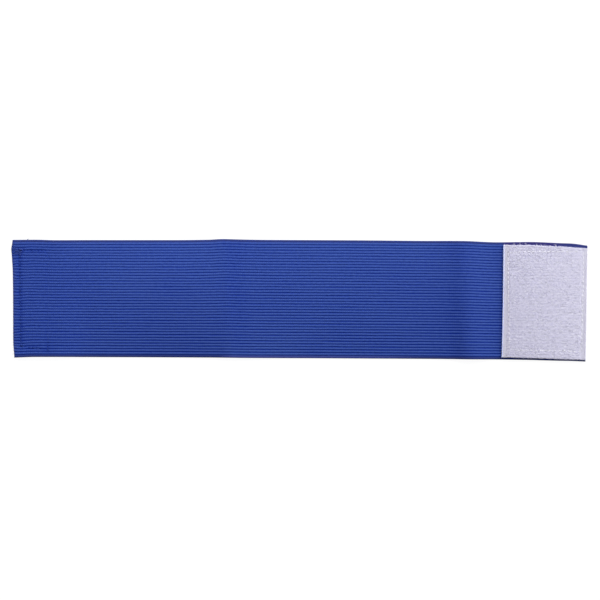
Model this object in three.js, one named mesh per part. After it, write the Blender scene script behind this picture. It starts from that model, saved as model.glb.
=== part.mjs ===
// An armband laid open on a table: a strip of ribbed knitted elastic with a loop patch sewn on top
// of its right end and a narrower hook patch sewn under its left end.
// Millimetres. +X runs along the strip towards the loop patch, +Y across it to the far edge and
// +Z up. The origin is on the table, under the middle of the strip.
import * as THREE from "three";

// Webbing, with its thickness measured over the crowns of its ribs
const BAND_LENGTH = 341.8;
const BAND_THICKNESS = 1.4;
const RIB_COUNT = 40;
const RIB_DEPTH = 0.35; // of the groove between two ribs, on each face
const RIB_CROWN_SHARE = 0.5; // of the pitch that is crown
const NEAR_SELVEDGE = 0.98; // width of the plain edge on the near side, in rib pitches
const FAR_SELVEDGE = 0.76;
const SELVEDGE_THICKNESS = 0.95;

// Fastening tapes: a woven ground with a raised field between two plain selvedges
const SEAM_GAP = 0.3; // between the webbing and the tape sewn on it
const TAPE_SELVEDGE = 2.6;
const LOOP_WIDTH = 49.95;
const LOOP_GROUND = 1.2;
const LOOP_THICKNESS = 1.7;
const HOOK_WIDTH = 25;
const HOOK_GROUND = 0.7;
const HOOK_THICKNESS = 1.7;
const HOOK_INSET = 0.6; // from the left end of the webbing to the hook patch

// The underside of the webbing over the hook patch
const LEFT_LIFT = HOOK_THICKNESS + SEAM_GAP;

// The webbing from its left end to its right end, a row for each section.
// along: where the section meets the far edge; skew: how much further along it meets the near edge.
// far, near: the two edges, across the strip. farLift, nearLift: height of the underside at each
// edge. arch: how much higher the middle of the section is than its edges.
const BAND_SECTIONS = [
  { along: 0, skew: 0, far: 36.0, near: -34.1, farLift: LEFT_LIFT, nearLift: LEFT_LIFT, arch: 0 },
  { along: 13, skew: 0.3, far: 36.1, near: -33.7, farLift: LEFT_LIFT, nearLift: LEFT_LIFT, arch: 0 },
  { along: 26, skew: 0.5, far: 35.8, near: -33.7, farLift: LEFT_LIFT, nearLift: LEFT_LIFT, arch: 0 },
  { along: 46, skew: 0.5, far: 35.9, near: -33.8, farLift: 0.4, nearLift: 0.2, arch: 1.0 },
  { along: 76, skew: 0.8, far: 35.9, near: -33.9, farLift: 0.2, nearLift: 0, arch: 2.2 },
  { along: 97, skew: 2, far: 35.9, near: -34.0, farLift: 0.3, nearLift: 0.1, arch: 2.8 },
  { along: 116, skew: 3.6, far: 36.1, near: -34.1, farLift: 1.0, nearLift: 0.9, arch: 2.4 },
  { along: 125, skew: 4.4, far: 36.5, near: -34.2, farLift: 1.4, nearLift: 1.7, arch: 1.8 },
  { along: 133, skew: 4, far: 36.3, near: -34.3, farLift: 1.1, nearLift: 1.5, arch: 1.5 },
  { along: 151, skew: 2, far: 36.0, near: -34.4, farLift: 0.6, nearLift: 0.6, arch: 1.3 },
  { along: 177, skew: 0.6, far: 35.9, near: -34.5, farLift: 0, nearLift: 0, arch: 1.4 },
  { along: 214, skew: 0, far: 35.7, near: -34.7, farLift: 0, nearLift: 0, arch: 1.4 },
  { along: 249, skew: 1, far: 35.4, near: -34.9, farLift: 0.2, nearLift: 0, arch: 1.2 },
  { along: 258, skew: 2.6, far: 35.4, near: -35.0, farLift: 0.9, nearLift: 0.5, arch: 1.2 },
  { along: 268, skew: 3.2, far: 35.3, near: -35.1, farLift: 2.3, nearLift: 3.1, arch: 0.8 },
  { along: 288, skew: 0, far: 34.6, near: -35.2, farLift: 0, nearLift: 0, arch: 0 },
  { along: 307, skew: -0.8, far: 34.8, near: -35.5, farLift: 0, nearLift: 0, arch: 0 },
  { along: 326, skew: -1, far: 34.1, near: -36.0, farLift: 0, nearLift: 0, arch: 0 },
  { along: 332, skew: -1, far: 33.9, near: -36.1, farLift: 0, nearLift: 0, arch: 0 },
  { along: BAND_LENGTH, skew: -1.2, far: 32.6, near: -36.5, farLift: 0, nearLift: 0, arch: 0 },
];

// The loop patch from its left edge to its right edge. from: the distance from its left edge.
// far, near: where its two cut edges are, across the strip.
const LOOP_EDGES = [
  { from: 0, far: 33.0, near: -33.9 },
  { from: 13, far: 33.0, near: -34.3 },
  { from: 26, far: 32.5, near: -34.7 },
  { from: 39, far: 31.8, near: -35.2 },
  { from: LOOP_WIDTH, far: 30.9, near: -35.5 },
];
const LOOP_LEFT = 120.8; // its far left corner
const LOOP_SKEW = -1.0; // how much further along the near edge is

// The hook patch
const HOOK_FAR = 33.1;
const HOOK_NEAR = -32.4;
const HOOK_SKEW = 0.9;

const BAND_LEFT = -BAND_LENGTH / 2;

// The value of each column of a table at a place between two rows, along the column named key.
function rowAt(table, key, place) {
  const last = table.length - 2;
  const next = table.findIndex((row) => row[key] > place);
  const index = Math.min(last, Math.max(0, (next < 0 ? table.length : next) - 1));
  const [a, b] = [table[index], table[index + 1]];
  const share = (place - a[key]) / (b[key] - a[key]);
  return Object.fromEntries(
    Object.keys(a).map((column) => [column, THREE.MathUtils.lerp(a[column], b[column], share)]),
  );
}

// A closed outline extruded in steps, with each of its points then moved to where place puts it.
// place takes the outline's two coordinates and the number of the step, counted from 0.
function drapedExtrusion(points, steps, place) {
  const outline = new THREE.Shape(points);
  const geometry = new THREE.ExtrudeGeometry(outline, { depth: steps, steps, bevelEnabled: false });
  geometry.deleteAttribute("normal");
  geometry.deleteAttribute("uv");
  const position = geometry.getAttribute("position");
  for (let i = 0; i < position.count; i += 1) {
    const spot = place(position.getX(i), position.getY(i), position.getZ(i));
    position.setXYZ(i, spot.x, spot.y, spot.z);
  }
  geometry.computeVertexNormals();
  return geometry;
}

// The cross-section of the webbing: x runs from 0 at the near edge to 1 at the far edge, y is the
// height over the underside. The top is given by its ribs, and the underside is its mirror image.
function webbingSection() {
  const pitches = NEAR_SELVEDGE + RIB_COUNT + FAR_SELVEDGE;
  const crownStart = (1 - RIB_CROWN_SHARE) / 2;
  const top = [new THREE.Vector2(0, BAND_THICKNESS / 2 + SELVEDGE_THICKNESS / 2)];
  for (let rib = 0; rib < RIB_COUNT; rib += 1) {
    const start = NEAR_SELVEDGE + rib;
    top.push(
      new THREE.Vector2(start / pitches, BAND_THICKNESS - RIB_DEPTH),
      new THREE.Vector2((start + crownStart) / pitches, BAND_THICKNESS),
      new THREE.Vector2((start + 1 - crownStart) / pitches, BAND_THICKNESS),
    );
  }
  top.push(
    new THREE.Vector2((pitches - FAR_SELVEDGE) / pitches, BAND_THICKNESS - RIB_DEPTH),
    new THREE.Vector2(1, BAND_THICKNESS / 2 + SELVEDGE_THICKNESS / 2),
  );
  const underside = top.map((point) => new THREE.Vector2(point.x, BAND_THICKNESS - point.y));
  return [...underside, ...top.reverse()];
}

// A point of the webbing from its share of the width, its height over the underside and its row.
function onBand(share, height, row) {
  const lift = THREE.MathUtils.lerp(row.nearLift, row.farLift, share);
  const rise = row.arch * (1 - (2 * share - 1) ** 2);
  return new THREE.Vector3(
    BAND_LEFT + row.along + row.skew * (1 - share),
    THREE.MathUtils.lerp(row.near, row.far, share),
    lift + rise + height,
  );
}

function bandGeometry() {
  const place = (share, height, step) => onBand(share, height, BAND_SECTIONS[Math.round(step)]);
  return drapedExtrusion(webbingSection(), BAND_SECTIONS.length - 1, place);
}

// The cross-section of a tape: x runs over its width and y up from its back, with the raised field
// between the selvedges, where only the ground is. Extra points on the back and the field follow
// the breaks given.
function tapeSection(width, ground, thickness, breaks) {
  const inner = breaks.filter((x) => x > TAPE_SELVEDGE && x < width - TAPE_SELVEDGE);
  const back = [0, ...inner, width].map((x) => new THREE.Vector2(x, 0));
  const field = inner.map((x) => new THREE.Vector2(x, thickness));
  return [
    ...back,
    new THREE.Vector2(width, ground),
    new THREE.Vector2(width - TAPE_SELVEDGE, ground),
    new THREE.Vector2(width - TAPE_SELVEDGE, thickness),
    ...field.reverse(),
    new THREE.Vector2(TAPE_SELVEDGE, thickness),
    new THREE.Vector2(TAPE_SELVEDGE, ground),
    new THREE.Vector2(0, ground),
  ];
}

// Pile up, on the webbing at its right end
function loopPatchGeometry() {
  const breaks = LOOP_EDGES.map((row) => row.from);
  const place = (from, height, step) => {
    const edges = rowAt(LOOP_EDGES, "from", from);
    return new THREE.Vector3(
      LOOP_LEFT + from + LOOP_SKEW * step,
      THREE.MathUtils.lerp(edges.far, edges.near, step),
      BAND_THICKNESS + SEAM_GAP + height,
    );
  };
  return drapedExtrusion(tapeSection(LOOP_WIDTH, LOOP_GROUND, LOOP_THICKNESS, breaks), 1, place);
}

// Hooks down, under the webbing at its left end
function hookPatchGeometry() {
  const place = (from, height, step) =>
    new THREE.Vector3(
      BAND_LEFT + HOOK_INSET + from + HOOK_SKEW * (1 - step),
      THREE.MathUtils.lerp(HOOK_NEAR, HOOK_FAR, step),
      HOOK_THICKNESS - height,
    );
  return drapedExtrusion(tapeSection(HOOK_WIDTH, HOOK_GROUND, HOOK_THICKNESS, []), 1, place);
}

const cloth = (color, roughness) => new THREE.MeshStandardMaterial({ color, roughness, metalness: 0 });

const webbing = cloth(0x2e4694, 0.75);
const pile = cloth(0xc9c7de, 0.95);
const hookTape = cloth(0xd2d0e0, 0.6);

function piece(name, geometry, material) {
  const mesh = new THREE.Mesh(geometry, material);
  mesh.name = name;
  return mesh;
}

const armband = new THREE.Group();
armband.name = "armband";
armband.add(
  piece("band", bandGeometry(), webbing),
  piece("loop_patch", loopPatchGeometry(), pile),
  piece("hook_patch", hookPatchGeometry(), hookTape),
);

export default armband;
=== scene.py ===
"""An armband laid open on a white table, seen from straight above: a strip of ribbed elastic with
a loop patch sewn on one end and a hook patch sewn under the other. Shapes are worked out in
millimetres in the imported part's frame, and go into the meshes in metres."""

import bpy
import numpy as np
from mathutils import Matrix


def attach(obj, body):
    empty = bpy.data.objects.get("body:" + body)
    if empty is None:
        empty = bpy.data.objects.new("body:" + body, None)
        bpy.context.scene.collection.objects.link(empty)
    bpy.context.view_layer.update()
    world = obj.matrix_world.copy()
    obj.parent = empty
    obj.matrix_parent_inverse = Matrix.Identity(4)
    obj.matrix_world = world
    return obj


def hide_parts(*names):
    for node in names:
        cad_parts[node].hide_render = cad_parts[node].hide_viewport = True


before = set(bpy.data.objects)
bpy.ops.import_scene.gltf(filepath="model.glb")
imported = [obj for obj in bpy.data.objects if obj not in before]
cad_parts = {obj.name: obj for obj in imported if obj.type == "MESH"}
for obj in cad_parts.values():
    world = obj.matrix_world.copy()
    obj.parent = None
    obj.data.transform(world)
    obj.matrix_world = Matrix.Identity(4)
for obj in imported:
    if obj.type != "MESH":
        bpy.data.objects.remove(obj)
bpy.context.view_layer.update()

# The band is a strip of knitted elastic: 40 rubber-cored ribs run along it between two plain
# selvedges, and both ends are cut off square. It lies open, with two soft creases from having
# been folded, and is drawn in where it is sewn.
MM = 0.001
BAND_LENGTH = 341.8
BAND_WIDTH = 70
BAND_THICKNESS = 1.4
RIBS = 40
NEAR_SELVEDGE = 0.98  # in rib pitches, as are the next two
FAR_SELVEDGE = 0.76
PITCHES = NEAR_SELVEDGE + RIBS + FAR_SELVEDGE
RIB_DEPTH = 0.35
SELVEDGE_THICKNESS = 0.95
SELVEDGE_ROUND = 0.45  # how far in the edge is rounded
RIB_ROUNDNESS = 0.93  # 0 is a flat rib and 1 half an ellipse
OVER_HOOKS = 2.0  # height of the underside over the hook patch

# Sections from the left end: along is where one meets the far edge, and skew how much further
# along it meets the near edge. far and near are the two edges across the strip, and the lifts the
# height of the underside there. arch is how much higher the middle is.
BAND_COLUMNS = ("along", "skew", "far", "near", "far_lift", "near_lift", "arch")
BAND_ROWS = [
    (0, 0, 36.0, -34.1, OVER_HOOKS, OVER_HOOKS, 0),
    (13, 0.3, 36.1, -33.7, OVER_HOOKS, OVER_HOOKS, 0),
    (26, 0.5, 35.8, -33.7, OVER_HOOKS, OVER_HOOKS, 0),
    (46, 0.5, 35.9, -33.8, 0.4, 0.2, 1.0),
    (76, 0.8, 35.9, -33.9, 0.2, 0, 2.2),
    (97, 2, 35.9, -34.0, 0.3, 0.1, 2.8),
    (116, 3.6, 36.1, -34.1, 1.0, 0.9, 2.4),
    (125, 4.4, 36.5, -34.2, 1.4, 1.7, 1.8),
    (133, 4, 36.3, -34.3, 1.1, 1.5, 1.5),
    (151, 2, 36.0, -34.4, 0.6, 0.6, 1.3),
    (177, 0.6, 35.9, -34.5, 0, 0, 1.4),
    (214, 0, 35.7, -34.7, 0, 0, 1.4),
    (249, 1, 35.4, -34.9, 0.2, 0, 1.2),
    (258, 2.6, 35.4, -35.0, 0.9, 0.5, 1.2),
    (268, 3.2, 35.3, -35.1, 2.3, 3.1, 0.8),
    (288, 0, 34.6, -35.2, 0, 0, 0),
    (307, -0.8, 34.8, -35.5, 0, 0, 0),
    (326, -1, 34.1, -36.0, 0, 0, 0),
    (332, -1, 33.9, -36.1, 0, 0, 0),
    (BAND_LENGTH, -1.2, 32.6, -36.5, 0, 0, 0),
]
band_table = dict(zip(BAND_COLUMNS, np.array(BAND_ROWS, float).T))

# Each of the two folds has left a low ridge, from the far edge to the near edge, and beside it a band of
# painted shade.
FOLDS = [((-45.5, 36.0), (-40.7, -34.0)), ((101.1, 35.0), (101.5, -35.0))]
FOLD_RISE = 0.18
FOLD_WIDTH = 4.0
FOLD_SHADE_ASIDE = (5.5, -8.0)  # from the ridge to the middle of its band of painted shade, along the strip
FOLD_SHADE_WIDTH = 7.0

# Seams, as the line that each needle followed, and the lengths of their stitches. The left one
# starts and ends at the cut edge, and its back-tack goes to and fro over the far corner.
LEFT_STITCH = 2.2
RIGHT_STITCH = 2.8
BACK_TACK = [
    (-170.4, 31.0), (-165.0, 30.4), (-170.3, 29.3),
    (-165.2, 28.9), (-170.4, 27.7), (-165.9, 27.2),
]
LEFT_SEAM = [
    (-170.6, 29.4), (-149.6, 29.4), (-150.3, -29.7),
    (-166.2, -27.4), (-167.0, 29.2), (-170.2, 27.9),
]
RIGHT_SEAM = [(123.4, 28.6), (168.5, 29.3), (167.2, -30.4), (124.2, -29.4), (123.4, 28.6)]
SLACK_FROM = (-152.0, -28.0)  # beyond this X and Y the left seam is slack and hardly draws in
LEFT_SEAM_REACH = 1.4  # how far from its stitches a seam draws the band in
BACK_TACK_REACH = 1.2
RIGHT_SEAM_REACH = 0.95
BACK_TACK_PULL = 0.9  # how tight its stitches are, from 0 to 1
TOP_DIP = (0.45, 0.2)  # how deep the left and the right seam draw in the upper face
UNDER_RISE = (0.12, 0.42)  # and how far they draw up the underside
LOOP_LEFT = 120.8  # X of the loop patch's far left corner
TACK_STRETCH = 1.15  # how far the back-tack stretches the cut edge outwards
TACK_MIDDLE = 30.3  # Y where it does so most
TACK_REACH = (9.0, 4.5)  # towards the near edge and towards the far edge
CORNER_LOSS = 0.65  # cut off the near left corner, which the scissors rounded
CORNER_REACH = 5.5
BOW = 0.15  # how far the ribs across the middle lie off their even spacing

# How the selvedges look in the photograph's light, which is painted on both faces: beyond the first fold
# the near one is lighter and the ribs beside it have less of the painted fold shade, and beside the loop
# patch the far one is in the shade. The first pair is the X over which it sets in, the second dies away.
LIT_EDGE = ((-50, -42), (45, 75))
LESS_FOLD_SHADE = ((-48, -42), (-10, 10))
LESS_FOLD_SHADE_BY = 1.6
LESS_FOLD_SHADE_REACH = 16  # from the near edge
PATCH_SHADE = 0.8
SHADE_FADES = (148, 160)  # X where 0.6 of that shade fades out

rng = np.random.default_rng(40)


def eased(place, at, value):
    """A smooth curve through a table's rows. Between two rows it is the cubic whose slope at each
    row is the harmonic mean of the slopes on either side, or level where they turn over."""
    step = np.diff(at)
    slope = np.diff(value) / step
    product = slope[:-1] * slope[1:]
    total = slope[:-1] + slope[1:]
    inner = np.where(product > 0, 2 * product / np.where(product > 0, total, 1), 0)
    tangent = np.concatenate([slope[:1], inner, slope[-1:]])
    row = np.clip(np.searchsorted(at, place, side="right") - 1, 0, len(step) - 1)
    share = (place - at[row]) / step[row]
    return (
        (1 + 2 * share) * (1 - share) ** 2 * value[row]
        + share**2 * (3 - 2 * share) * value[row + 1]
        + share * (1 - share) * ((1 - share) * tangent[row] - share * tangent[row + 1]) * step[row]
    )


def rounded_step(value):
    """0 below 0, 1 above 1 and 3t² - 2t³ between."""
    value = np.clip(value, 0, 1)
    return value**2 * (3 - 2 * value)


def from_to(place, rise, fall):
    """0 before the first rise, 1 from the second rise to the first fall and 0 beyond the second fall,
    joined by rounded steps."""
    up = rounded_step((place - rise[0]) / (rise[1] - rise[0]))
    return up * rounded_step((fall[1] - place) / (fall[1] - fall[0]))


def wander(places, spacing, columns):
    """Smooth random curves between -1 and 1, one a column, that turn about every spacing: random
    values at even steps, joined by rounded steps."""
    steps = (places - places.min()) / spacing
    knots = rng.uniform(-1, 1, (int(steps.max()) + 2, columns))
    row = steps.astype(int)
    ease = rounded_step(steps - row)[:, None]
    return knots[row] * (1 - ease) + knots[row + 1] * ease


def mottled(x, y, size_x, size_y):
    """Smooth random values between -1 and 1 over a plane: random values on a grid of these
    spacings, joined by rounded steps in both directions."""
    u = (x - np.min(x)) / size_x
    v = (y - np.min(y)) / size_y
    knots = rng.uniform(-1, 1, (int(np.max(u)) + 2, int(np.max(v)) + 2))
    i, j = u.astype(int), v.astype(int)
    s, t = rounded_step(u - i), rounded_step(v - j)
    return (knots[i, j] * (1 - s) + knots[i + 1, j] * s) * (1 - t) + (
        knots[i, j + 1] * (1 - s) + knots[i + 1, j + 1] * s
    ) * t


def needle_holes(corners, stitch):
    """Points about a stitch apart along a broken line, one of them on each corner, each a little
    off the line, as a hand-guided seam has them."""
    corners = np.array(corners, float)
    runs = [corners[:1]]
    for start, end in zip(corners, corners[1:]):
        count = max(1, round(np.linalg.norm(end - start) / stitch))
        runs.append(start + (end - start) * np.arange(1, count + 1)[:, None] / count)
    holes = np.concatenate(runs)
    return holes + rng.normal(0, 0.06, holes.shape)


def drawn_in(x, y, holes, tight, reach):
    """How far the cloth is pulled in at (x, y), from 0 to 1: 0.4 of it falls away from the line of
    stitches as e^(-(distance / reach)²), and the rest, in half that reach, from the nearest needle
    hole. Each stitch pulls as much as it is tight. Across the ribs its line pulls more than along
    them, and its hole less."""
    line = np.zeros(np.shape(x))
    hole = np.zeros(np.shape(x))
    for start, end, pull in zip(holes, holes[1:], tight):
        run = end - start
        share = np.clip(((x - start[0]) * run[0] + (y - start[1]) * run[1]) / (run @ run), 0, 1)
        away = np.hypot(x - start[0] - share * run[0], y - start[1] - share * run[1])
        steep = abs(run[1]) / np.hypot(*run)
        line = np.maximum(line, pull * (0.2 + 0.7 * steep) * np.exp(-((away / reach) ** 2)))
        away = np.hypot(x - end[0], y - end[1])
        hole = np.maximum(hole, pull * (1 - 0.6 * steep) * np.exp(-((away / (0.5 * reach)) ** 2)))
    return 0.4 * line + 0.6 * hole


def band_row(along):
    """The smooth value of each column of the band's table at these places."""
    return {name: eased(along, band_table["along"], band_table[name]) for name in BAND_COLUMNS[1:]}


def band_place(along, share):
    """X, Y and the height of the underside at a place along the band and a share of its width:
    the two edges joined straight across, plus arch · (1 - (2 share - 1)²)."""
    row = band_row(along)
    x = along - BAND_LENGTH / 2 + row["skew"] * (1 - share)
    y = row["near"] + (row["far"] - row["near"]) * share
    lift = row["near_lift"] + (row["far_lift"] - row["near_lift"]) * share
    return x, y, lift + row["arch"] * (1 - (2 * share - 1) ** 2)


def band_coordinates(x, y):
    """The place along the band and the share of its width that lie at (x, y)."""
    along = x + BAND_LENGTH / 2
    share = np.full(np.shape(along), 0.5)
    for _ in range(4):
        row = band_row(along)
        share = (y - row["near"]) / (row["far"] - row["near"])
        along = x + BAND_LENGTH / 2 - row["skew"] * (1 - share)
    return along, share


def crown(share):
    """How high the ribs stand at a share of the width, 0 in a groove and 1 on a crown. A rib is
    the top of an ellipse over its pitch, and a selvedge a low bead."""
    rib = share * PITCHES - NEAR_SELVEDGE
    across = 2 * (rib - np.floor(rib)) - 1
    sunk = 1 - np.sqrt(1 - RIB_ROUNDNESS * across**2)
    on_rib = 1 - sunk / (1 - np.sqrt(1 - RIB_ROUNDNESS))
    plain = np.where(rib < 0, 1 + rib / NEAR_SELVEDGE, (RIBS + FAR_SELVEDGE - rib) / FAR_SELVEDGE)
    return np.where((rib < 0) | (rib > RIBS), 0.75 * np.sin(np.pi * np.clip(plain, 0, 1)), on_rib)


def half_thickness(share):
    """Half of the band's thickness: full on a crown, less in a groove, and rounded off at the two
    edges by a quarter of an ellipse."""
    width = share * PITCHES
    edge = np.minimum(width, PITCHES - width) / SELVEDGE_ROUND
    plain = (width < NEAR_SELVEDGE) | (width > PITCHES - FAR_SELVEDGE)
    flat = (BAND_THICKNESS - RIB_DEPTH * 2) / 2 + RIB_DEPTH * crown(share)
    bead = SELVEDGE_THICKNESS / 2 * (0.9 + 0.15 * crown(share))
    full = np.where(plain, bead, flat)
    return full * np.sqrt(1 - 0.94 * np.clip(1 - edge, 0, 1) ** 2)


def from_folds(x, y):
    """How far (x, y) lies beyond the line of each fold, along X."""
    return [
        x - near_x - (far_x - near_x) * (y - near_y) / (far_y - near_y)
        for (far_x, far_y), (near_x, near_y) in FOLDS
    ]


def fold_rise(x, y):
    """How much the folds lift the band: FOLD_RISE · e^(-distance / FOLD_WIDTH), which is a ridge."""
    return sum(FOLD_RISE * np.exp(-np.abs(beyond) / FOLD_WIDTH) for beyond in from_folds(x, y))


def painted_fold_shade(x, y):
    """How much shade is painted beside the folds, from 0 to 1: e^(-(distance / its width)²) from a line
    beside each fold.
    """
    beyond = zip(from_folds(x, y), FOLD_SHADE_ASIDE)
    return sum(np.exp(-(((away - aside) / FOLD_SHADE_WIDTH) ** 2)) for away, aside in beyond)


def grid_faces(rows, columns, offset=0):
    """The quads of a grid of points, rows by columns, that face up where rows run along X and
    columns along Y."""
    number = offset + np.arange(rows * columns).reshape(rows, columns)
    corners = (number[:-1, :-1], number[1:, :-1], number[1:, 1:], number[:-1, 1:])
    return np.stack([corner.ravel() for corner in corners], axis=1)


def shell_faces(rows, columns):
    """The quads of a closed cloth: a top grid, a bottom grid whose points follow it in the same
    order, and a strip between the two all the way round."""
    top = grid_faces(rows, columns)
    bottom = grid_faces(rows, columns, rows * columns)[:, ::-1]
    number = np.arange(rows * columns).reshape(rows, columns)
    rim = np.concatenate([number[:-1, 0], number[-1, :-1], number[:0:-1, -1], number[0, :0:-1]])
    ahead = np.roll(rim, -1)
    under = rows * columns
    strip = np.stack([rim + under, ahead + under, ahead, rim], axis=1)
    return [top, bottom, strip]


def cloth_piece(name, points, faces, uv, attributes=()):
    """A mesh object from arrays: points in millimetres, faces as arrays of corner numbers, one
    array for each number of corners, and a UV and named values for each point. Faces that meet at
    less than 60° are shaded as one."""
    mesh = bpy.data.meshes.new(name)
    corners = np.concatenate([block.ravel() for block in faces])
    sizes = np.concatenate([np.full(len(block), block.shape[1]) for block in faces])
    mesh.vertices.add(len(points))
    mesh.vertices.foreach_set("co", (points * MM).ravel())
    mesh.loops.add(len(corners))
    mesh.loops.foreach_set("vertex_index", corners)
    mesh.polygons.add(len(sizes))
    mesh.polygons.foreach_set("loop_start", np.cumsum(sizes) - sizes)
    mesh.update(calc_edges=True)
    layer = mesh.uv_layers.new(name="cloth")
    layer.data.foreach_set("uv", uv[corners].ravel())
    for key, values in dict(attributes).items():
        mesh.attributes.new(key, "FLOAT", "POINT").data.foreach_set("value", values.ravel())
    mesh.polygons.foreach_set("use_smooth", np.ones(len(sizes), bool))
    mesh.set_sharp_from_angle(angle=np.radians(60))
    mesh.validate()
    piece = bpy.data.objects.new(name, mesh)
    bpy.context.scene.collection.objects.link(piece)
    return piece


# The rows are close where the band is sewn and wider apart between, and each rib has six points.
left_holes = needle_holes(LEFT_SEAM, LEFT_STITCH)
right_holes = needle_holes(RIGHT_SEAM, RIGHT_STITCH)
left_tight = rng.uniform(0.6, 1, len(left_holes))
right_tight = rng.uniform(0.6, 1, len(right_holes))
tack_holes = needle_holes(BACK_TACK, LEFT_STITCH)
along = np.concatenate([
    np.arange(0, 28, 0.65),
    np.arange(28, 114, 3.2),
    np.arange(114, 142, 1.0),
    np.arange(142, 254, 3.6),
    np.arange(254, 286, 1.4),
    np.linspace(286, BAND_LENGTH, 36),
])
rib_points = (np.arange(RIBS)[:, None] + [0, 0.1, 0.3, 0.5, 0.7, 0.9]).ravel() + NEAR_SELVEDGE
near_points = NEAR_SELVEDGE * np.array([0, 0.05, 0.16, 0.36, 0.6, 0.85])
far_points = PITCHES - FAR_SELVEDGE * np.array([1, 0.75, 0.5, 0.28, 0.1, 0])
share = np.concatenate([near_points, rib_points, far_points]) / PITCHES
band_x, band_y, band_under = band_place(along[:, None], share[None, :])

# Each rib strays a little to either side and stands a little higher or lower along its way. By
# the left end the sewing pushes the ribs about, and the back-tack stretches the cut edge outwards.
rib_number = np.clip(np.floor(share * PITCHES - NEAR_SELVEDGE), -1, RIBS).astype(int) + 1
inside = np.minimum(1, 12 * share * (1 - share))
stray = wander(along, 9, RIBS + 2)[:, rib_number] * inside
swell = wander(along, 5, RIBS + 2)[:, rib_number]
left_pull = drawn_in(band_x, band_y, left_holes, left_tight, LEFT_SEAM_REACH)
slack = rounded_step((band_x - SLACK_FROM[0]) / 1.5) * rounded_step((band_y - SLACK_FROM[1]) / 6)
left_pull = left_pull * (1 - 0.85 * slack)
tack_tight = np.full(len(tack_holes), BACK_TACK_PULL)
tack_pull = drawn_in(band_x, band_y, tack_holes, tack_tight, BACK_TACK_REACH)
left_pull = np.maximum(left_pull, tack_pull)
right_pull = drawn_in(band_x, band_y, right_holes, right_tight, RIGHT_SEAM_REACH)
half = half_thickness(share)[None, :] + 0.025 * swell
middle = band_under + BAND_THICKNESS / 2 + fold_rise(band_x, band_y)
# Painted shade in a band beside each fold.
fold_shade = painted_fold_shade(band_x, band_y)
ripple = left_pull * mottled(band_x, band_y, 2.0, 1.6)
pushed = mottled(band_x, band_y, 3.0, 4.2) * np.exp(-along[:, None] / 7) * inside
loosened = 0.08 + 0.16 * np.exp(-along[:, None] / 3)
from_tack = np.hypot(band_y - TACK_MIDDLE, 0.8) - 0.8
from_tack = from_tack / np.where(band_y < TACK_MIDDLE, *TACK_REACH)
corner = np.exp(-((share * BAND_WIDTH / CORNER_REACH) ** 2))
band_x = band_x - TACK_STRETCH * np.exp(-from_tack - along[:, None] / 1.6)
band_x = band_x + CORNER_LOSS * corner * np.exp(-along[:, None] / 5)
band_y = band_y + BOW * 4 * share * (1 - share) + loosened * stray + 0.3 * ripple + 0.4 * pushed
top_z = middle + half - TOP_DIP[0] * left_pull - TOP_DIP[1] * right_pull
under_z = middle - half + UNDER_RISE[0] * left_pull + UNDER_RISE[1] * right_pull
top = np.stack([band_x, band_y, top_z], axis=-1)
under = np.stack([band_x, band_y, np.maximum(under_z, 0)], axis=-1)
cloth_uv = np.stack(np.broadcast_arrays(along[:, None], share[None, :] * PITCHES), axis=-1)
band_crown = np.broadcast_to(crown(share)[None, :], band_x.shape)
near_edge = rounded_step((1.1 - share * PITCHES) / 0.4)
lit_edge = near_edge * from_to(band_x, *LIT_EDGE)
by_near_edge = np.exp(-((share * BAND_WIDTH / LESS_FOLD_SHADE_REACH) ** 2))
fold_shade = fold_shade - LESS_FOLD_SHADE_BY * from_to(band_x, *LESS_FOLD_SHADE) * by_near_edge
on_strip = rounded_step(band_x - LOOP_LEFT)
faded = rounded_step((band_x - SHADE_FADES[0]) / (SHADE_FADES[1] - SHADE_FADES[0]))
in_shade = PATCH_SHADE * on_strip * (1 - 0.6 * faded)
far_edge = rounded_step(2 - (1.8 - 0.8 * on_strip) * (1 - share) * PITCHES) * (1 + in_shade)
by_cut = np.exp(-np.minimum(along, BAND_LENGTH - along) / 0.7)
band_edge = np.maximum(near_edge + far_edge, by_cut[:, None])
band = cloth_piece(
    "band_webbing",
    np.concatenate([top.reshape(-1, 3), under.reshape(-1, 3)]),
    shell_faces(*band_x.shape),
    np.tile(cloth_uv.reshape(-1, 2), (2, 1)),
    {
        "crown": np.tile(band_crown.ravel(), 2),
        "sewn": np.tile((left_pull + right_pull).ravel(), 2),
        "fold_shade": np.tile(fold_shade.ravel(), 2),
        "edge": np.tile(band_edge.ravel(), 2),
        "lit_edge": np.tile(lit_edge.ravel(), 2),
    },
)


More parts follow.
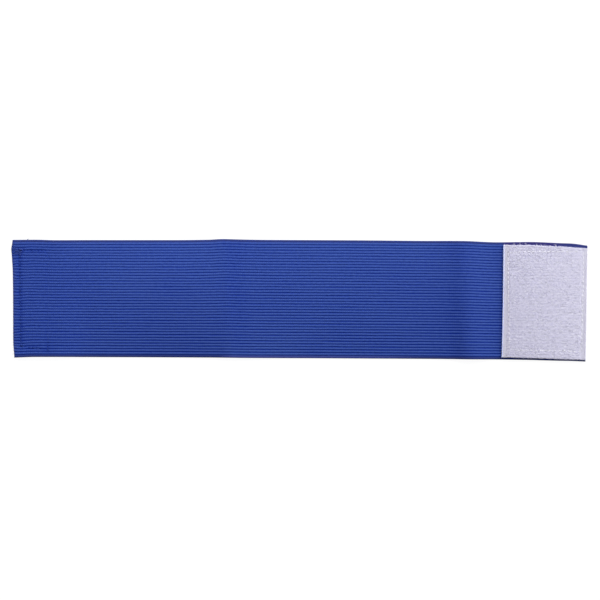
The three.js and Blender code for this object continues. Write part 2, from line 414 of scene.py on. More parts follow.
class Wire:
    """One output of a material's node tree. Operators on it add the Math nodes that work them out."""

    def __init__(self, tree, socket):
        self.tree = tree
        self.socket = socket

    def node(self, kind, inputs=(), output=0, **settings):
        """A new node of that kind. Its settings are set first, then its inputs, each a value or
        another wire, by name or number."""
        made = self.tree.nodes.new(kind)
        for name, value in settings.items():
            setattr(made, name, value)
        for key, value in dict(inputs).items():
            if isinstance(value, Wire):
                self.tree.links.new(value.socket, made.inputs[key])
            else:
                made.inputs[key].default_value = value
        return Wire(self.tree, made.outputs[output])

    def math(self, operation, *values, clamp=False):
        return self.node("ShaderNodeMath", enumerate(values), operation=operation, use_clamp=clamp)

    def __add__(self, other):
        return self.math("ADD", self, other)

    def __sub__(self, other):
        return self.math("SUBTRACT", self, other)

    def __rsub__(self, other):
        return self.math("SUBTRACT", other, self)

    def __mul__(self, other):
        return self.math("MULTIPLY", self, other)

    def __truediv__(self, other):
        return self.math("DIVIDE", self, other)

    def __pow__(self, other):
        return self.math("POWER", self, other)

    __radd__ = __add__
    __rmul__ = __mul__

    def clamped(self):
        return self.math("ADD", self, 0, clamp=True)

    def fraction(self):
        return self.math("FRACT", self)

    def size(self):
        return self.math("ABSOLUTE", self)

    def parts(self):
        """The three numbers of this vector."""
        made = self.node("ShaderNodeSeparateXYZ", {0: self}).socket.node
        return [Wire(self.tree, socket) for socket in made.outputs]

    def wave(self):
        """Between 0 and 1, once round for each whole number of this value."""
        return self.math("SINE", self * (2 * np.pi)) * 0.5 + 0.5

    def mixed(self, first, second):
        """The first colour where this is 0 and the second where it is 1."""
        colours = {0: self.clamped(), 6: first, 7: second}
        return self.node("ShaderNodeMix", colours, 2, data_type="RGBA")


def srgb(red, green, blue):
    """A colour given as 0 to 255 in sRGB, as the linear colour with alpha that the nodes take."""
    value = np.array([red, green, blue]) / 255
    linear = np.where(value <= 0.04045, value / 12.92, ((value + 0.055) / 1.055) ** 2.4)
    return (*linear.tolist(), 1)


def cloth_material(name, roughness, sheen, sheen_tint=(1, 1, 1, 1)):
    """A new material with its shader's even values set. Gives the material, a wire to start from
    and a function that joins a colour, a roughness and a height in millimetres to the shader."""
    material = bpy.data.materials.new(name)
    material.use_nodes = True
    tree = material.node_tree
    shader = tree.nodes["Principled BSDF"]
    shader.inputs["Roughness"].default_value = roughness
    shader.inputs["Sheen Weight"].default_value = sheen
    shader.inputs["Sheen Roughness"].default_value = 0.5
    shader.inputs["Sheen Tint"].default_value = sheen_tint
    shader.inputs["Specular IOR Level"].default_value = 0.05

    def finish(colour, rough, height):
        relief = {"Height": height * MM, "Strength": 1.0, "Distance": 1.0}
        tree.links.new(colour.socket, shader.inputs["Base Color"])
        tree.links.new(rough.socket, shader.inputs["Roughness"])
        tree.links.new(colour.node("ShaderNodeBump", relief).socket, shader.inputs["Normal"])

    return material, Wire(tree, tree.nodes.new("ShaderNodeUVMap").outputs["UV"]), finish


COURSE = 1.15  # length of one loop of the knitting
RIB_TONE = 0.7  # mean of the ribs' light and dark, partly their own and partly painted shade in the grooves
# Painted shade in the needle holes.
HOLE_SHADE_BLUE = (15, 32, 96)
# Painted light and shade on the ribs: a lit blue for each rib's far flank and a bluer shaded one for its
# near flank.
LIT_FLANK_GROOVE_BLUE = (14, 37, 116)
SHADED_FLANK_GROOVE_BLUE = (2, 32, 131)
LIT_FLANK_CROWN_BLUE = (58, 79, 141)
SHADED_FLANK_CROWN_BLUE = (50, 76, 151)
# The plainer blue of the selvedges and cut ends, which also stands for painted shade where the edges
# round away from the light.
EDGE_AND_SHADE_BLUE = (42, 52, 104)
SHADED_BLUE = (50, 44, 98)
LIT_EDGE_BLUE = (57, 67, 132)


def knitted_elastic():
    """Each rib is a chain of slanting loops, about one a millimetre, that meet in a V on its crown.
    Thinner yarns cross in the grooves. The colour goes from groove to crown with the rib's height, partly
    the yarn's own and partly painted shade in the grooves, with a painted lit blue on each rib's far side
    and a bluer painted shaded one on its near side. It is darker at needle holes and along the seams, as
    painted shade, and in painted shade beside the folds, and darker with fainter ribs towards the left
    end. The selvedges and the cut ends have colours of their own, which also hold painted shade at the
    edges, painted light on the near selvedge beyond the first fold and painted shade on the far one
    beside the loop patch."""
    material, uv, finish = cloth_material("knitted_elastic", 0.9, 0.02, srgb(120, 150, 235))
    along_band, across, _ = uv.parts()
    crown_height = uv.node("ShaderNodeAttribute", output=2, attribute_name="crown")
    sewn = uv.node("ShaderNodeAttribute", output=2, attribute_name="sewn")
    fold_shade = uv.node("ShaderNodeAttribute", output=2, attribute_name="fold_shade")
    edge = uv.node("ShaderNodeAttribute", output=2, attribute_name="edge")
    lit_edge = uv.node("ShaderNodeAttribute", output=2, attribute_name="lit_edge")
    ridge = crown_height**2
    from_crown = ((across - NEAR_SELVEDGE).fraction() - 0.5).size()
    chain = (along_band / COURSE + from_crown * 1.1).wave()
    weft = (along_band / (COURSE / 2)).wave()
    stretched = uv.node("ShaderNodeCombineXYZ", {0: along_band * 0.6, 1: across * 1.7})
    mottle = uv.node("ShaderNodeTexNoise", {"Vector": stretched, "Scale": 0.9, "Detail": 3.0})
    wide = uv.node("ShaderNodeCombineXYZ", {0: along_band * 0.03, 1: across * 0.06})
    patch = uv.node("ShaderNodeTexNoise", {"Vector": wide, "Scale": 1.0, "Detail": 2.0})
    left_end = (1 - along_band / 60).clamped()
    # The contrast of the ribs is painted stronger towards the near edge, for the light that falls from
    # the far side, and is weaker towards the left end.
    relief = (1.24 - across * (0.56 / PITCHES)) * (1 - left_end * 0.2)
    rib = ridge * 0.85 + chain * ridge * 0.25 - RIB_TONE
    light = rib * relief + RIB_TONE + (mottle - 0.5) * 0.62 + (patch - 0.5) * 0.2 - left_end * 0.09
    # Painted light on the far flank of each rib and painted shade on its near flank.
    shaded_flank = (across - NEAR_SELVEDGE).wave()
    groove = shaded_flank.mixed(srgb(*LIT_FLANK_GROOVE_BLUE), srgb(*SHADED_FLANK_GROOVE_BLUE))
    top = shaded_flank.mixed(srgb(*LIT_FLANK_CROWN_BLUE), srgb(*SHADED_FLANK_CROWN_BLUE))
    # The drawn-in seams and their needle holes are painted darker, as painted shade, and so are the bands
    # beside the folds.
    cloth = (light - sewn * 0.6 - fold_shade * 0.09).mixed(groove, top)
    cloth = (sewn * 3.2 - 0.9).mixed(cloth, srgb(*HOLE_SHADE_BLUE))
    colour = (edge * 0.9 + (mottle - 0.5) * edge).mixed(cloth, srgb(*EDGE_AND_SHADE_BLUE))
    colour = (edge - 1).mixed(colour, srgb(*SHADED_BLUE))
    colour = (lit_edge * 0.9).mixed(colour, srgb(*LIT_EDGE_BLUE))
    height = chain * crown_height * 0.07 + weft * (1 - crown_height) * 0.05 + mottle * 0.04
    finish(colour, 0.86 - crown_height * 0.1 + (mottle - 0.5) * 0.1, height)
    return material


band.data.materials.append(knitted_elastic())
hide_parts("band")
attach(band, "root")

# The cut ends of the band fray a little: a few short ends of yarn stand out of each rib.
YARN = 0.09
FRAY = (0.15, 0.55)  # shortest and longest
ENDS_A_RIB = 4


def tubes(paths, heading, radius, sides):
    """Closed tubes along many short paths at once. Each path lies nearly in the upright plane of
    its heading, so a ring's two directions are heading × up and that one × the path's own."""
    count, length = paths.shape[:2]
    ahead = np.gradient(paths, axis=1)
    ahead /= np.linalg.norm(ahead, axis=-1, keepdims=True)
    level = np.stack([heading[:, 1], -heading[:, 0], np.zeros(count)], axis=-1)[:, None]
    rise = np.cross(np.broadcast_to(level, ahead.shape), ahead)
    rise /= np.linalg.norm(rise, axis=-1, keepdims=True)
    level = np.cross(ahead, rise)
    angle = 2 * np.pi * np.arange(sides)[:, None] / sides
    spoke = np.cos(angle) * level[:, :, None] + np.sin(angle) * rise[:, :, None]
    wide = np.broadcast_to(radius, (count, length))[:, :, None, None]
    points = (paths[:, :, None] + wide * spoke).reshape(-1, 3)
    number = np.arange(count * length * sides).reshape(count, length, sides)
    beside = np.roll(number, -1, axis=2)
    quads = np.stack([number[:, :-1], number[:, 1:], beside[:, 1:], beside[:, :-1]], axis=-1)
    step = np.linalg.norm(np.diff(paths, axis=1), axis=-1)
    run = np.concatenate([np.zeros((count, 1)), np.cumsum(step, axis=1)], axis=1)
    around = np.arange(sides) / sides
    uv = np.stack(np.broadcast_arrays(run[:, :, None], around[None, None]), axis=-1).reshape(-1, 2)
    return points, [quads.reshape(-1, 4), np.concatenate([number[:, 0], number[:, -1, ::-1]])], uv


def joined(*parts):
    """Several (points, faces, uv) as one, with the corner numbers moved on."""
    points, faces, uv, offset = [], [], [], 0
    for part_points, part_faces, part_uv in parts:
        points.append(part_points)
        faces.extend(block + offset for block in part_faces)
        uv.append(part_uv)
        offset += len(part_points)
    return np.concatenate(points), faces, np.concatenate(uv)


def whiskers(roots, direction, length, droop, radius, bend=0.35):
    """Short fibres from their roots: each runs out along its direction, wanders sideways by up to
    bend times its length, falls by droop and thins to a tip."""
    share = np.linspace(0, 1, 5)[None, :, None]
    aside = np.stack([-direction[:, 1], direction[:, 0]], axis=-1)
    aside = aside * rng.uniform(-bend, bend, (len(roots), 1))
    flat = (direction[:, None] * share + aside[:, None] * share**2) * length[:, None, None]
    height = -droop[:, None, None] * share**1.5
    paths = roots[:, None] + np.concatenate([flat, height], axis=-1)
    return tubes(paths, direction, radius * (1 - 0.65 * share[:, :, 0]), 3)


def frayed_end(place_along, outward):
    """The ends of yarn that stand out of the ribs where the band is cut."""
    shares = (np.repeat(np.arange(RIBS) + 0.5, ENDS_A_RIB) + NEAR_SELVEDGE) / PITCHES
    shares = shares + rng.uniform(-0.3, 0.3, len(shares)) / PITCHES
    x, y, low = band_place(np.full(len(shares), float(place_along)), shares)
    roots = np.stack([x - 0.1 * outward, y, low + rng.uniform(0.35, 1.05, len(shares))], axis=-1)
    angle = rng.normal(0, 0.5, len(shares))
    direction = np.stack([outward * np.cos(angle), np.sin(angle)], axis=-1)
    length = rng.uniform(*FRAY, len(shares)) + 0.1
    return whiskers(roots, direction, length, rng.uniform(-0.1, 0.15, len(shares)), YARN / 2)


def yarn_material(name, colour, ply=0.5, roughness=0.75, shade=0.62):
    """Twisted thread: two plies wind round it, a turn every ply millimetres. Where they meet, the
    colour is darker, times shade."""
    material, uv, finish = cloth_material(name, roughness, 0.0)
    run, around, _ = uv.parts()
    twist = (run / ply + around).wave()
    dark = tuple(shade * value for value in colour[:3])
    finish(twist.mixed((*dark, 1), colour), roughness + twist * 0.1, twist * 0.03)
    return material


blue_yarn = yarn_material("blue_yarn", srgb(34, 46, 100))
fray = cloth_piece("cut_end_fray", *joined(frayed_end(0, -1), frayed_end(BAND_LENGTH, 1)))
fray.data.materials.append(blue_yarn)
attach(fray, "root")

# The loop patch is 50 mm tape sewn on top of the right end, pile up: a woven ground, a brushed
# nylon pile on it and a plain woven edge at its left and right. Its far and near sides are cut.
TAPE_EDGE = 2.6
LOOP_WIDTH = 49.95
LOOP_LENGTH = 67
LOOP_LOW = 1.46
LOOP_TOP = 3.2
TAPE_GROUND = 1.52
LOOP_SKEW = -1.0
LOOP_BOW = 0.2  # how far the middle of its left edge is pulled in
LOOP_FLARE = 0.07  # how far the ends of that edge stand out
LOOP_COLUMNS = ("across", "far", "near")
LOOP_ROWS = [
    (0, 33.0, -33.9),
    (13, 33.0, -34.3),
    (26, 32.5, -34.7),
    (39, 31.8, -35.2),
    (LOOP_WIDTH, 30.9, -35.5),
]
TAPE_REACH = 0.8  # how far from its stitches a seam presses a tape in
PILE_DIP = 0.16  # how deep its seam presses the pile in
loop_table = dict(zip(LOOP_COLUMNS, np.array(LOOP_ROWS, float).T))


def patch_place(across, share):
    """X and Y at a distance from the patch's left edge and a share of the way from its near side."""
    near = eased(across, loop_table["across"], loop_table["near"])
    far = eased(across, loop_table["across"], loop_table["far"])
    bow = (LOOP_BOW * 4 * share * (1 - share) - LOOP_FLARE) * (1 - across / LOOP_WIDTH)
    return LOOP_LEFT + across + LOOP_SKEW * (1 - share) + bow, near + (far - near) * share


def pile_share(across):
    """0 on the woven edges, with a low bead at their rims, and 1 on the pile between them."""
    return rounded_step((np.minimum(across, LOOP_WIDTH - across) - TAPE_EDGE + 0.8) / 2.4)


def patch_top(across, share, x, y):
    """Height of the tape's upper face before its pile is tousled: ground, bead at the two woven
    rims, pile, less what the seam pulls down."""
    from_rim = np.minimum(across, LOOP_WIDTH - across)
    from_cut = np.minimum(share, 1 - share) * LOOP_LENGTH
    bead = 0.07 * np.exp(-(((from_rim - 0.4) / 0.3) ** 2)) - 0.4 * np.exp(-from_rim / 0.12)
    pile = (LOOP_TOP - LOOP_LOW - TAPE_GROUND) * pile_share(across)
    worn = 0.12 * np.exp(-from_cut / 0.25)
    pressed = PILE_DIP * drawn_in(x, y, right_holes, right_tight, TAPE_REACH)
    return LOOP_LOW + TAPE_GROUND + bead + pile - worn - pressed


edge_steps = np.array([0, 0.08, 0.2, 0.35, 0.5, 0.7, 0.95, 1.25, 1.6, 1.95, 2.2, 2.4, 2.6, 2.85])
pile_steps = np.linspace(3.1, LOOP_WIDTH - 3.1, 134)
across = np.concatenate([edge_steps, pile_steps, LOOP_WIDTH - edge_steps[::-1]])
share = np.linspace(0, 1, 202)
loop_x, loop_y = patch_place(across[:, None], share[None, :])
across_grid = np.broadcast_to(across[:, None], loop_x.shape)
share_grid = np.broadcast_to(share[None, :], loop_x.shape)
on_pile = pile_share(across_grid)
tousle = 0.015 * mottled(loop_x, loop_y, 3.6, 0.8) + 0.015 * mottled(loop_x, loop_y, 0.9, 0.6)
loop_z = patch_top(across_grid, share_grid, loop_x, loop_y) + tousle * on_pile
ragged = rng.uniform(0, 0.25, (len(across), 2)) * on_pile[:, :1]
edge_y = loop_y.copy()
edge_y[:, 0] += ragged[:, 0]
edge_y[:, -1] -= ragged[:, 1]
loop_uv = np.stack([across_grid, loop_y], axis=-1).reshape(-1, 2)
loop_sewn = drawn_in(loop_x, loop_y, right_holes, right_tight, TAPE_REACH)
loop_patch = cloth_piece(
    "loop_tape",
    np.concatenate([
        np.stack([loop_x, edge_y, loop_z], axis=-1).reshape(-1, 3),
        np.stack([loop_x, edge_y, np.full(loop_x.shape, LOOP_LOW)], axis=-1).reshape(-1, 3),
    ]),
    shell_faces(*loop_x.shape),
    np.tile(loop_uv, (2, 1)),
    {
        "pile": np.concatenate([on_pile.ravel(), np.zeros(on_pile.size)]),
        "sewn": np.tile(loop_sewn.ravel(), 2),
    },
)


PILE_SHADE = (176, 174, 195)
PILE_LIGHT = (213, 211, 227)
EDGE_SHADE = (172, 171, 186)
EDGE_LIGHT = (198, 196, 211)
# The white cord along the left rim, painted brighter and bluer as a highlight on it.
CORD_HIGHLIGHT_WHITE = (205, 212, 253)
HOLE_SHADE_GREY = (100, 90, 104)
RIB_PITCH = 1.68  # of the band, whose ribs show faintly through the tape
THROUGH = 0.3  # how far light spreads in the pile


def plain_weave(x, y, pitch):
    """A wave each way, multiplied: 1 where both are high or both low, and 0 where one is high and
    the other low, as the squares of a plain weave are."""
    warp = (x / pitch).wave()
    weft = (y / pitch).wave()
    return warp * weft + (1 - warp) * (1 - weft)


def looped_pile():
    """Pale lavender pile, brushed into short streaks along the band, between greyer edges with a plain
    weave and a white cord along the left rim, painted brighter as a highlight. Pile and edges are lighter
    towards the right, as painted light. The ribs of the band show faintly through, and the needle holes
    at the left edge are dark, as painted shade."""
    material, uv, finish = cloth_material("looped_pile", 0.95, 0.05)
    x, y, _ = uv.parts()
    pile = uv.node("ShaderNodeAttribute", output=2, attribute_name="pile")
    sewn = uv.node("ShaderNodeAttribute", output=2, attribute_name="sewn")
    streaked = uv.node("ShaderNodeCombineXYZ", {0: x * 0.5, 1: y * 1.6})
    streaks = uv.node("ShaderNodeTexNoise", {"Vector": streaked, "Scale": 1.0, "Detail": 3.0})
    fluff = uv.node("ShaderNodeTexNoise", {"Vector": uv, "Scale": 2.8, "Detail": 4.0, "Roughness": 0.7})
    weave = plain_weave(x, y, 0.5)
    ribs = ((y / RIB_PITCH).wave() - 0.5) * 0.2
    by_edge = ((4.5 - x) * 2).clamped()
    pressed = sewn * (0.5 - by_edge * 0.8)
    # Pile and edges grow lighter towards the right, painted light from that side.
    tone = (streaks - 0.5) + (fluff - 0.5) * 1.5 + ribs + pressed + x * (0.34 / LOOP_WIDTH) + 0.3
    on_pile = tone.mixed(srgb(*PILE_SHADE), srgb(*PILE_LIGHT))
    edge_tone = weave * 0.7 + x * (0.2 / LOOP_WIDTH) + 0.15 + (fluff - 0.5) * 0.8
    on_edge = edge_tone.mixed(srgb(*EDGE_SHADE), srgb(*EDGE_LIGHT))
    colour = pile.node("ShaderNodeMix", {0: pile, 6: on_edge, 7: on_pile}, 2, data_type="RGBA")
    # The needle holes by the left edge are painted dark, as painted shade.
    holes = (sewn * 5 - 2).clamped() * by_edge
    colour = holes.mixed(colour, srgb(*HOLE_SHADE_GREY))
    colour = ((0.6 - x) * 8).mixed(colour, srgb(*CORD_HIGHLIGHT_WHITE))
    height = fluff * pile * 0.09 + streaks * pile * 0.06 + weave * (1 - pile) * 0.03
    finish(colour, 0.95 - weave * 0.05, height)
    return material


def let_light_through(material):
    """Makes a material translucent to a few tenths of a millimetre, as fine nylon is."""
    shader = material.node_tree.nodes["Principled BSDF"]
    shader.inputs["Subsurface Weight"].default_value = 1.0
    shader.inputs["Subsurface Radius"].default_value = (1.0, 1.0, 1.0)
    shader.inputs["Subsurface Scale"].default_value = THROUGH * MM


pile_material = looped_pile()
let_light_through(pile_material)
loop_patch.data.materials.append(pile_material)
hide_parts("loop_patch")
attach(loop_patch, "root")

# The pile itself is thousands of fine nylon loops lying mostly along the band, and the cut sides
# of the tape shed a fringe of loose ends, a few of them long enough to cross the blue.
LOOPS = 8600
FILAMENT = 0.065
FRINGE = 150
TUFTS = (6.5, 9.9, 13.4, 20.0, 31.0)  # where bundles of longer ends cross the far edge

at_across = rng.uniform(TAPE_EDGE - 0.1, LOOP_WIDTH - TAPE_EDGE + 0.1, LOOPS)
at_share = rng.uniform(0.004, 0.996, LOOPS)
root_x, root_y = patch_place(at_across, at_share)
root_z = patch_top(at_across, at_share, root_x, root_y)
turn = rng.normal(0, 0.22, LOOPS) + np.pi * rng.integers(0, 2, LOOPS)
heading = np.stack([np.cos(turn), np.sin(turn)], axis=-1)
span = rng.uniform(0.5, 1.7, LOOPS)
span = np.minimum(span, 2 * np.minimum(at_share, 1 - at_share) * LOOP_LENGTH + 0.5)
t = np.linspace(-0.5, 0.5, 4)
arc = np.cos(np.pi * t)
bow = rng.uniform(-0.14, 0.14, LOOPS)
paths = np.zeros((LOOPS, len(t), 3))
paths[..., 0] = root_x[:, None] + heading[:, :1] * span[:, None] * t - heading[:, 1:] * bow[:, None] * arc
paths[..., 1] = root_y[:, None] + heading[:, 1:] * span[:, None] * t + heading[:, :1] * bow[:, None] * arc
paths[..., 2] = root_z[:, None] - 0.05 + rng.uniform(0.07, 0.14, (LOOPS, 1)) * arc


def fringe(at, share, outward, length, fan):
    """Loose ends along one cut side of the tape, which point outwards, more or less by fan."""
    count = len(at)
    x, y = patch_place(at, np.full(count, float(share)))
    height = rng.uniform(LOOP_LOW + 0.1, LOOP_LOW + 1.1, count)
    roots = np.stack([x, y - 0.1 * outward, height], axis=-1)
    angle = rng.normal(0, fan, count)
    direction = np.stack([np.sin(angle), outward * np.cos(angle)], axis=-1)
    return whiskers(roots, direction, length, rng.uniform(0, 0.25, count), FILAMENT / 2, 0.5)


fringe_length = rng.uniform(0.15, 0.6, (2, FRINGE)) + rng.exponential(0.18, (2, FRINGE))
fringe_at = rng.uniform(0.3, LOOP_WIDTH - 0.3, (2, FRINGE))
tuft_at = np.repeat(TUFTS, 9) + rng.normal(0, 0.14, 9 * len(TUFTS))
pile_loops = cloth_piece("loop_pile", *tubes(paths, heading, FILAMENT / 2, 3))
loose_ends = cloth_piece(
    "loop_tape_fringe",
    *joined(
        fringe(fringe_at[0], 1, 1, fringe_length[0], 0.6),
        fringe(fringe_at[1], 0, -1, fringe_length[1], 0.6),
        fringe(tuft_at, 1, 1, rng.uniform(1.0, 1.7, len(tuft_at)), 0.15),
    ),
)
white_nylon = yarn_material("white_nylon", srgb(226, 224, 241), 0.9, 0.85, 0.9)
let_light_through(white_nylon)
for piece in (pile_loops, loose_ends):
    piece.data.materials.append(white_nylon)
    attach(piece, "root")

# The hook patch is 25 mm tape sewn under the left end, hooks down: a stiff woven ground with rows
# of nylon hooks between two plain edges. The photograph hides all of it but its sewing.
HOOK_WIDTH = 25
HOOK_INSET = 0.6
HOOK_FAR = 33.1
HOOK_NEAR = -32.4
HOOK_LENGTH = 65.5
HOOK_SKEW = 0.9
HOOK_GROUND = (1.15, 1.94)  # height of its lower and upper faces
HOOK_PITCH = (1.15, 1.3)  # across the tape and along it
HOOK_THICK = 0.2


def hook_tape_place(across, share):
    """X and Y at a distance from the tape's left edge and a share of the way from its near side."""
    x = -BAND_LENGTH / 2 + HOOK_INSET + across + HOOK_SKEW * (1 - share)
    return x, HOOK_NEAR + (HOOK_FAR - HOOK_NEAR) * share


across = np.linspace(0, HOOK_WIDTH, 61)
share = np.linspace(0, 1, 133)
tape_x, tape_y = np.broadcast_arrays(*hook_tape_place(across[:, None], share[None, :]))
across_grid = np.broadcast_to(across[:, None], tape_x.shape)
rim = np.minimum(across_grid, HOOK_WIDTH - across_grid)
pulled = drawn_in(tape_x, tape_y, left_holes, left_tight, TAPE_REACH)
tape_low = HOOK_GROUND[0] + 0.25 * pulled + 0.15 * np.exp(-rim / 0.5)
hook_tape = cloth_piece(
    "hook_tape",
    np.concatenate([
        np.stack([tape_x, tape_y, HOOK_GROUND[1] - 0.1 * np.exp(-rim / 0.3)], axis=-1).reshape(-1, 3),
        np.stack([tape_x, tape_y, tape_low], axis=-1).reshape(-1, 3),
    ]),
    shell_faces(*tape_x.shape),
    np.tile(np.stack([across_grid, tape_y], axis=-1).reshape(-1, 2), (2, 1)),
)


def woven_tape():
    """Plain weave, a thread every half millimetre both ways, with a slight unevenness."""
    material, uv, finish = cloth_material("woven_tape", 0.7, 0.02)
    x, y, _ = uv.parts()
    weave = plain_weave(x, y, 0.55)
    uneven = uv.node("ShaderNodeTexNoise", {"Vector": uv, "Scale": 0.6, "Detail": 3.0})
    tone = weave * 0.7 + (uneven - 0.5) * 0.6 + 0.15
    finish(tone.mixed(srgb(150, 149, 168), srgb(196, 196, 214)), 0.75 - weave * 0.12, weave * 0.08)
    return material


hook_tape.data.materials.append(woven_tape())
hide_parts("hook_patch")
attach(hook_tape, "root")

# Every hook is a bent nylon bristle. They stand in rows along the tape and lean alternately to
# one side and the other. The profile gives how far out a hook is and its height, from the tape to
# its tip.
hook_profile = np.array([
    (0.00, 1.22), (0.00, 0.90), (0.02, 0.58), (0.10, 0.30),
    (0.27, 0.14), (0.45, 0.20), (0.52, 0.40), (0.46, 0.55),
])
hook_rows = np.arange(TAPE_EDGE + 0.4, HOOK_WIDTH - TAPE_EDGE, HOOK_PITCH[0])
hook_columns = np.arange(0.9, HOOK_LENGTH - 0.6, HOOK_PITCH[1]) / HOOK_LENGTH
row_number = np.repeat(np.arange(len(hook_rows)), len(hook_columns))
column_number = np.tile(np.arange(len(hook_columns)), len(hook_rows))
stem_x, stem_y = hook_tape_place(
    hook_rows[row_number] + rng.normal(0, 0.05, row_number.size),
    hook_columns[column_number] + (row_number % 2) * 0.5 * HOOK_PITCH[1] / HOOK_LENGTH,
)
clear = drawn_in(stem_x, stem_y, left_holes, np.ones(len(left_holes)), TAPE_REACH) < 0.3
stem_x, stem_y, row_number = stem_x[clear], stem_y[clear], row_number[clear]
lean = np.where(row_number % 2 == 0, 0.5, -0.5) * np.pi + rng.normal(0, 0.25, len(stem_x))
heading = np.stack([np.cos(lean), np.sin(lean)], axis=-1)
paths = np.empty((len(stem_x), len(hook_profile), 3))
paths[..., 0] = stem_x[:, None] + heading[:, :1] * hook_profile[:, 0]
paths[..., 1] = stem_y[:, None] + heading[:, 1:] * hook_profile[:, 0]
paths[..., 2] = hook_profile[:, 1]
hooks = cloth_piece("hooks", *tubes(paths, heading, HOOK_THICK / 2, 4))


def nylon_bristle():
    """Milky nylon, a little darker in places, with a soft gloss."""
    material, uv, finish = cloth_material("nylon_bristle", 0.4, 0.0)
    cloudy = uv.node("ShaderNodeTexNoise", {"Vector": uv, "Scale": 3.0})
    finish(cloudy.mixed(srgb(176, 176, 190), srgb(222, 222, 232)), 0.35 + cloudy * 0.15, cloudy * 0.01)
    return material


hooks.data.materials.append(nylon_bristle())
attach(hooks, "root")

# Both patches are sewn on with lockstitch, navy thread over the left end and white over the loop patch.
# Each stitch dives into a needle hole at both of its ends, and the bobbin thread does the same
# underneath. The back-tack at the far left corner lies higher, and its thread is painted a little
# lighter, as painted light on the raised stitches.
THREAD = 0.34
BOBBIN_HEIGHT = 0.2  # of the right seam's thread under the band


def stitches(holes, height, dive, bulge, uneven=0.0):
    """Stitches between needle holes, over heights given at the holes: each rises out of one hole by
    bulge · √sin(πt), more or less by uneven, and ends dive deep in the next. A negative dive and
    bulge sew the underside."""
    t = np.linspace(0, 1, 9)
    start, end = holes[:-1], holes[1:]
    bulge = bulge + rng.uniform(-uneven, uneven, (len(start), 1))
    flat = start[:, None] + (end - start)[:, None] * (0.06 + 0.88 * t)[None, :, None]
    low = height[:-1, None] + (height[1:] - height[:-1])[:, None] * t
    swell = np.sqrt(np.sin(np.pi * np.clip(t, 0.001, 0.999)))
    paths = np.concatenate([flat, (low - dive + (dive + bulge) * swell)[..., None]], axis=-1)
    heading = (end - start) / np.linalg.norm(end - start, axis=1, keepdims=True)
    return tubes(paths, heading, THREAD / 2, 6)


def on_band(holes):
    """Height of the rib crowns of the band at each hole."""
    place_along, place_share = band_coordinates(holes[:, 0], holes[:, 1])
    return band_place(place_along, place_share)[2] + BAND_THICKNESS


def on_patch(holes):
    """Height of the pressed pile at each hole."""
    at = holes[:, 0] - LOOP_LEFT - LOOP_SKEW / 2
    return patch_top(at, np.full(len(at), 0.5), holes[:, 0], holes[:, 1])


def thread_piece(name, material, slot, *parts):
    """One piece of sewing from its stitches and loose ends."""
    piece = cloth_piece(name, *joined(*parts))
    piece.data.materials.append(material)
    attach(piece, "root")
    return piece


def loose_end(points):
    """A thread laid through a few points, with four steps between each two."""
    points = np.array(points, float)
    steps = np.linspace(0, len(points) - 1, 4 * (len(points) - 1) + 1)
    path = np.stack([eased(steps, np.arange(len(points)), column) for column in points.T], axis=-1)
    run = path[-1, :2] - path[0, :2]
    heading = run / np.linalg.norm(run)
    return tubes(path[None], heading[None], THREAD / 2, 6)


navy_thread = yarn_material("navy_thread", srgb(46, 70, 146))
lit_tack_thread = yarn_material("lit_tack_thread", srgb(62, 80, 157))
white_thread = yarn_material("white_thread", srgb(244, 243, 252))

# Three turns of thread go round the cut edge at the back-tack, and a cut end hangs out beyond the
# far edge.
edge_wraps = [
    [
        (-170.2, y, 3.3), (-171.1, y + 0.3, 3.4), (-171.75, y + 0.1, 2.9),
        (-171.65, y - 0.3, 2.2), (-170.8, y - 0.4, 1.75),
    ]
    for y in (31.0, 29.6, 28.2)
]
cut_thread = [(-163.4, 33.2, 1.9), (-162.9, 35.4, 1.9), (-162.0, 36.7, 2.2)]
left_sewing = thread_piece(
    "left_seam_thread", navy_thread, "elastic_webbing",
    stitches(left_holes, on_band(left_holes), dive=0.75, bulge=-0.22, uneven=0.14),
    *[loose_end(points) for points in edge_wraps],
    loose_end(cut_thread),
)
back_tack = thread_piece(
    "back_tack_thread", lit_tack_thread, "elastic_webbing",
    stitches(tack_holes, on_band(tack_holes), dive=0.5, bulge=0.06, uneven=0.08),
)
left_bobbin = thread_piece(
    "left_bobbin_thread", white_thread, "hook_tape",
    stitches(left_holes, np.full(len(left_holes), HOOK_GROUND[0]), dive=-0.5, bulge=-0.02),
)
right_sewing = thread_piece(
    "right_seam_thread", white_thread, "loop_tape",
    stitches(right_holes, on_patch(right_holes), dive=0.35, bulge=0.08, uneven=0.05),
)
right_bobbin = thread_piece(
    "right_bobbin_thread", navy_thread, "elastic_webbing",
    stitches(right_holes, np.full(len(right_holes), BOBBIN_HEIGHT), dive=-0.5, bulge=0.0),
)

# The table is a plain sheet that glows white by itself. The light is even all round, with a large
# soft light at the far right and a long one over the far side, and the camera looks straight down.
PIXEL = 0.596  # millimetres of table under one pixel of the photograph
PHOTO_SIDE = 600
MIDDLE_PIXEL = (300.5, 300.35)  # where the middle of the band lies in the photograph
CAMERA_HEIGHT = 1500
SENSOR = 36

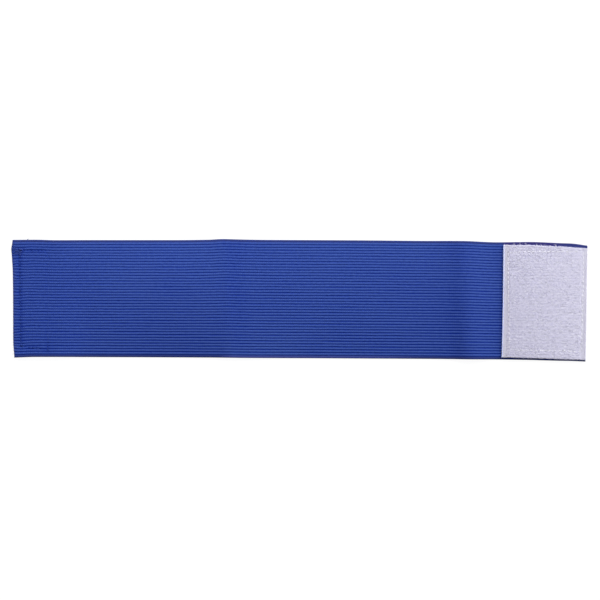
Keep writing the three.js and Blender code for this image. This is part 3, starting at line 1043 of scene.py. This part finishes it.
floor_mesh = bpy.data.meshes.new("table")
HALF_SIDE = 4.0  # in metres
TABLE_HEIGHT = -0.02 * MM
floor_corners = [
    (-HALF_SIDE, -HALF_SIDE, TABLE_HEIGHT),
    (HALF_SIDE, -HALF_SIDE, TABLE_HEIGHT),
    (HALF_SIDE, HALF_SIDE, TABLE_HEIGHT),
    (-HALF_SIDE, HALF_SIDE, TABLE_HEIGHT),
]
floor_mesh.from_pydata(floor_corners, [], [(0, 1, 2, 3)])
floor = bpy.data.objects.new("table", floor_mesh)
bpy.context.scene.collection.objects.link(floor)
white = bpy.data.materials.new("white_table")
white.use_nodes = True
white.node_tree.nodes["Principled BSDF"].inputs["Base Color"].default_value = (0.1, 0.1, 0.1, 1)
white.node_tree.nodes["Principled BSDF"].inputs["Roughness"].default_value = 0.9
white.node_tree.nodes["Principled BSDF"].inputs["Emission Color"].default_value = (1, 1, 1, 1)
white.node_tree.nodes["Principled BSDF"].inputs["Emission Strength"].default_value = 0.93
floor_mesh.materials.append(white)

world = bpy.data.worlds.new("studio")
world.use_nodes = True
world.node_tree.nodes["Background"].inputs["Color"].default_value = (1, 1, 1, 1)
world.node_tree.nodes["Background"].inputs["Strength"].default_value = 0.4
bpy.context.scene.world = world


def aimed_light(light, location):
    """Hangs a light at a place given in metres, turned to the middle of the band."""
    lamp = bpy.data.objects.new(light.name, light)
    lamp.location = location
    lamp.rotation_euler = (-lamp.location).to_track_quat("-Z", "Y").to_euler()
    bpy.context.scene.collection.objects.link(lamp)


key_light = bpy.data.lights.new("key_light", "SUN")
key_light.energy = 2.63
key_light.angle = np.radians(35)
aimed_light(key_light, (0.6, 0.62, 0.55))
strip_light = bpy.data.lights.new("strip_light", "AREA")
strip_light.shape = "RECTANGLE"
strip_light.size = 1.3
strip_light.size_y = 0.3
strip_light.energy = 2.8
aimed_light(strip_light, (0, 0.30, 0.22))

camera = bpy.data.cameras.new("camera")
camera.sensor_width = SENSOR
camera.lens = SENSOR * CAMERA_HEIGHT / (PHOTO_SIDE * PIXEL)
holder = bpy.data.objects.new("camera", camera)
holder.location = (
    (PHOTO_SIDE / 2 - MIDDLE_PIXEL[0]) * PIXEL * MM,
    (MIDDLE_PIXEL[1] - PHOTO_SIDE / 2) * PIXEL * MM,
    CAMERA_HEIGHT * MM,
)
bpy.context.scene.collection.objects.link(holder)
bpy.context.scene.camera = holder
bpy.context.scene.view_settings.view_transform = "Standard"
